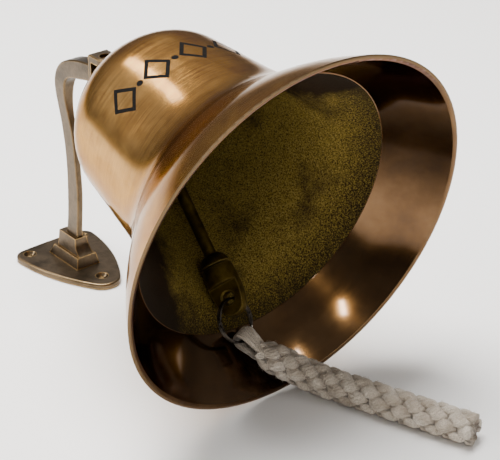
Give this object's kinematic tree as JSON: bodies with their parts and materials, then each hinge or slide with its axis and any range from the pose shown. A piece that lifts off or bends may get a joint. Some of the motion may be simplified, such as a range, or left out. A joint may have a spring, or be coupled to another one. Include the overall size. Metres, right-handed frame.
{
  "type": "ship bell",
  "caption": "Flared ship's bell on a wall-mounted swan-neck bracket, with a swivelling hinge pin, eye-hung clapper, split ring and braided lanyard.",
  "frame": {"origin": "centre of the bracket's post on the wall plate's underside, the face that meets the wall", "axes": "+X towards the bell's mouth, +Y across, +Z away from the wall; XZ is the mirror plane of bracket and bell"},
  "size_m": [0.3787, 0.25, 0.2445],
  "materials": {
    "bell_brass": "antiqued, brushed and waxed",
    "bracket_brass": "aged, rubbed bright at the edges",
    "pin_brass": "turned, dulled",
    "clapper_brass": "cast, olive brown tarnish",
    "black_enamel": "dull black filler",
    "ring_steel": "dark spring steel",
    "lanyard_cotton": "braided cotton cord"
  },
  "bodies": {
    "bracket": {"wall_plate": "bracket_brass", "bracket_arm": "bracket_brass"},
    "pivot": {"hinge_pin": "pin_brass", "pin_clip": "ring_steel"},
    "bell": {"bell_shell": "bell_brass", "engraving_enamel": "black_enamel", "crown_hanger": "bracket_brass", "crown_washer": "clapper_brass", "eye_nut": "clapper_brass"},
    "clapper": {"clapper_rod": "clapper_brass", "clapper_bob": "clapper_brass"},
    "bell_pull": {"split_ring": "ring_steel", "lanyard_becket": "lanyard_cotton", "lanyard": "lanyard_cotton"}
  },
  "joints": [
    {"name": "bell_swing", "type": "hinge", "parent": "bracket", "child": "pivot", "pos_m": [0.0512, 0, 0.1651], "axis": [0, 0, 1], "range_deg": [-22, 22]},
    {"name": "bell_tilt", "type": "hinge", "parent": "pivot", "child": "bell", "pos_m": [0.0512, 0, 0.1651], "axis": [0, -1, 0], "range_deg": [0, 20]},
    {"name": "clapper_swing", "type": "hinge", "parent": "bell", "child": "clapper", "pos_m": [0.08541, 0, 0.15771], "axis": [0.0294, -0.9903, 0.136], "range_deg": [0, 40]},
    {"name": "ring_swing", "type": "hinge", "parent": "clapper", "child": "bell_pull", "pos_m": [0.19441, -0.01004, 0.06109], "axis": [0.1216, -0.9638, 0.2373], "range_deg": [0, 12]}
  ]
}
